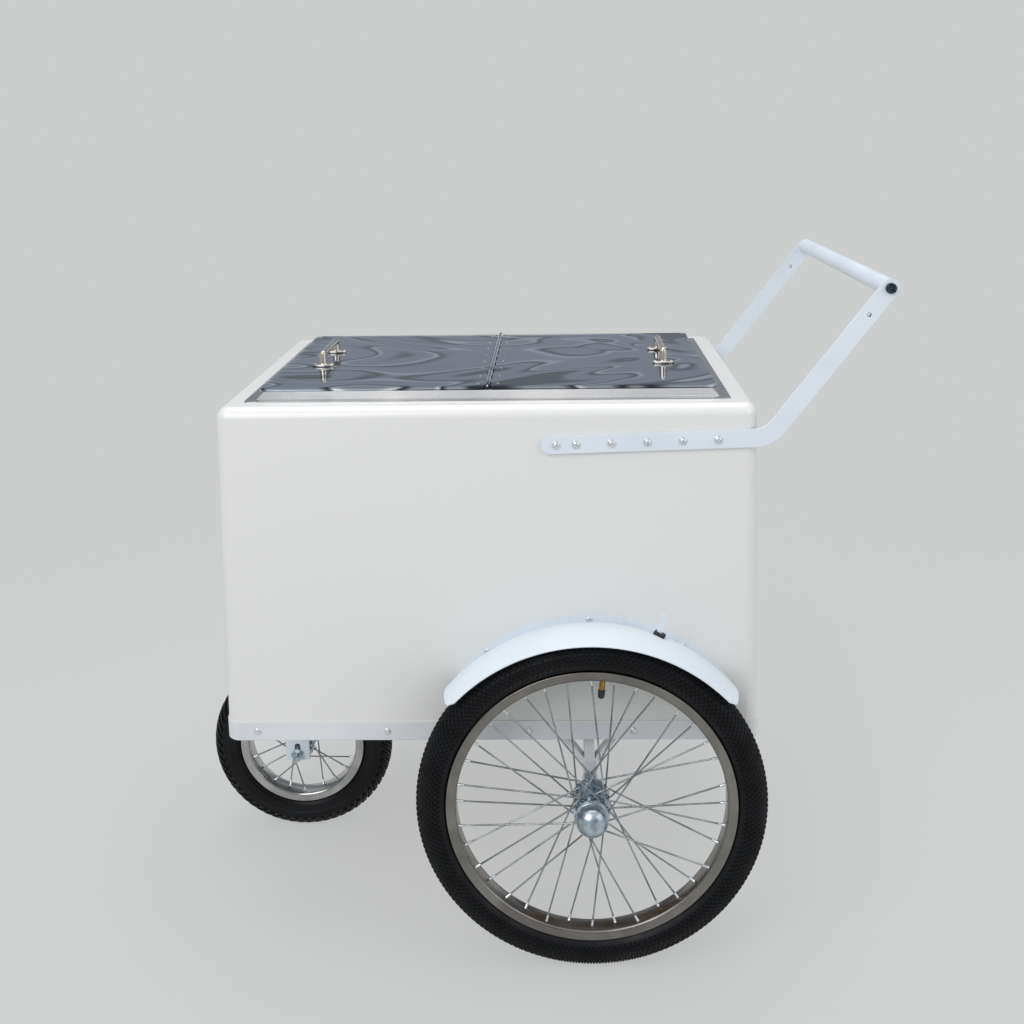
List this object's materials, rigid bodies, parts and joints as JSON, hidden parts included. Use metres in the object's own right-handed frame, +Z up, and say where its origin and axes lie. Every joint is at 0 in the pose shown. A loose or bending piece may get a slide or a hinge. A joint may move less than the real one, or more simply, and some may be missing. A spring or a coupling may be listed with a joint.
{
  "type": "push vending cart",
  "caption": "Insulated three-wheel push cart with two centre-hinged lids over a cold well, spoked wheels, fenders and a push handle.",
  "frame": {"origin": "on the floor, under the middle of the cart's bounding box", "axes": "+X from the front wheel towards the push handle, +Y across the cart to the right wheel, +Z up"},
  "size_m": [1.0835, 0.8688, 0.9997],
  "materials": {
    "tyre_rubber": "moulded tread",
    "tube_rubber": "matte",
    "rim_steel": "plated, satin",
    "spoke_steel": "bright drawn wire",
    "zinc_steel": "blue zinc plated",
    "bearing_steel": "ground",
    "gelcoat": "moulded gelcoat, satin",
    "foam": "cut foam",
    "liner_plastic": "smooth",
    "stainless": "bright polished sheet",
    "gasket_rubber": "matte",
    "nickel": "cast, nickel plated",
    "fastener_steel": "bright zinc plated",
    "plywood": "sealed",
    "white_paint": "powder coat, cool white",
    "frame_paint": "powder coat, light grey white"
  },
  "bodies": {
    "cart": {"outer_shell": "gelcoat", "insulation": "foam", "inner_liner": "liner_plastic", "top_trim": "rim_steel", "hinge_beam": "stainless", "hinge_pin": "stainless", "base_frame": "frame_paint", "floor_panel": "plywood", "cross_members": "frame_paint", "base_bolts": "fastener_steel", "front_fork": "white_paint", "front_axle": "zinc_steel", "rear_axle": "zinc_steel", "rear_brackets": "frame_paint", "axle_nuts": "zinc_steel", "left_fender": "white_paint", "right_fender": "white_paint", "fender_screws": "fastener_steel", "brake_brackets": "white_paint", "left_handle_arm": "white_paint", "right_handle_arm": "white_paint", "handle_screws": "fastener_steel", "handle_tube": "white_paint", "handle_bolts": "fastener_steel"},
    "left_wheel": {"left_wheel_tyre": "tyre_rubber", "left_wheel_inner_tube": "tube_rubber", "left_wheel_rim": "rim_steel", "left_wheel_spokes": "spoke_steel", "left_wheel_hub": "zinc_steel", "left_wheel_bearings": "bearing_steel", "left_wheel_dust_cap": "zinc_steel"},
    "right_wheel": {"right_wheel_tyre": "tyre_rubber", "right_wheel_inner_tube": "tube_rubber", "right_wheel_rim": "rim_steel", "right_wheel_spokes": "spoke_steel", "right_wheel_hub": "zinc_steel", "right_wheel_bearings": "bearing_steel", "right_wheel_dust_cap": "zinc_steel"},
    "front_wheel": {"front_wheel_tyre": "tyre_rubber", "front_wheel_inner_tube": "tube_rubber", "front_wheel_rim": "rim_steel", "front_wheel_spokes": "spoke_steel", "front_wheel_hub": "zinc_steel", "front_wheel_bearings": "bearing_steel"},
    "front_lid": {"front_lid_skin": "stainless", "front_lid_hinge_leaf": "stainless", "front_lid_inner_panel": "liner_plastic", "front_lid_core": "foam", "front_lid_gasket": "gasket_rubber", "front_lid_fasteners": "fastener_steel", "front_lid_pull": "nickel"},
    "rear_lid": {"rear_lid_skin": "stainless", "rear_lid_hinge_leaf": "stainless", "rear_lid_inner_panel": "liner_plastic", "rear_lid_core": "foam", "rear_lid_gasket": "gasket_rubber", "rear_lid_fasteners": "fastener_steel", "rear_lid_pull": "nickel"},
    "left_brake": {"left_brake_lever": "white_paint"},
    "right_brake": {"right_brake_lever": "white_paint"}
  },
  "joints": [
    {"name": "left_wheel_spin", "type": "hinge", "parent": "cart", "child": "left_wheel", "pos_m": [0.10965, -0.3684, 0.2535], "axis": [0, 1, 0], "continuous": true},
    {"name": "right_wheel_spin", "type": "hinge", "parent": "cart", "child": "right_wheel", "pos_m": [0.10965, 0.3684, 0.2535], "axis": [0, 1, 0], "continuous": true},
    {"name": "front_wheel_spin", "type": "hinge", "parent": "cart", "child": "front_wheel", "pos_m": [-0.38635, 0, 0.1555], "axis": [0, 1, 0], "continuous": true},
    {"name": "front_lid_hinge", "type": "hinge", "parent": "cart", "child": "front_lid", "pos_m": [-0.03735, 0, 0.8384], "axis": [0, 1, 0], "range_deg": [0, 165]},
    {"name": "rear_lid_hinge", "type": "hinge", "parent": "cart", "child": "rear_lid", "pos_m": [-0.03735, 0, 0.8384], "axis": [0, -1, 0], "range_deg": [0, 165]},
    {"name": "left_brake_pivot", "type": "hinge", "parent": "cart", "child": "left_brake", "pos_m": [0.20535, -0.3464, 0.49481], "axis": [0, 1, 0], "range_deg": [0, 38]},
    {"name": "right_brake_pivot", "type": "hinge", "parent": "cart", "child": "right_brake", "pos_m": [0.20535, 0.3464, 0.49481], "axis": [0, 1, 0], "range_deg": [0, 38]}
  ]
}
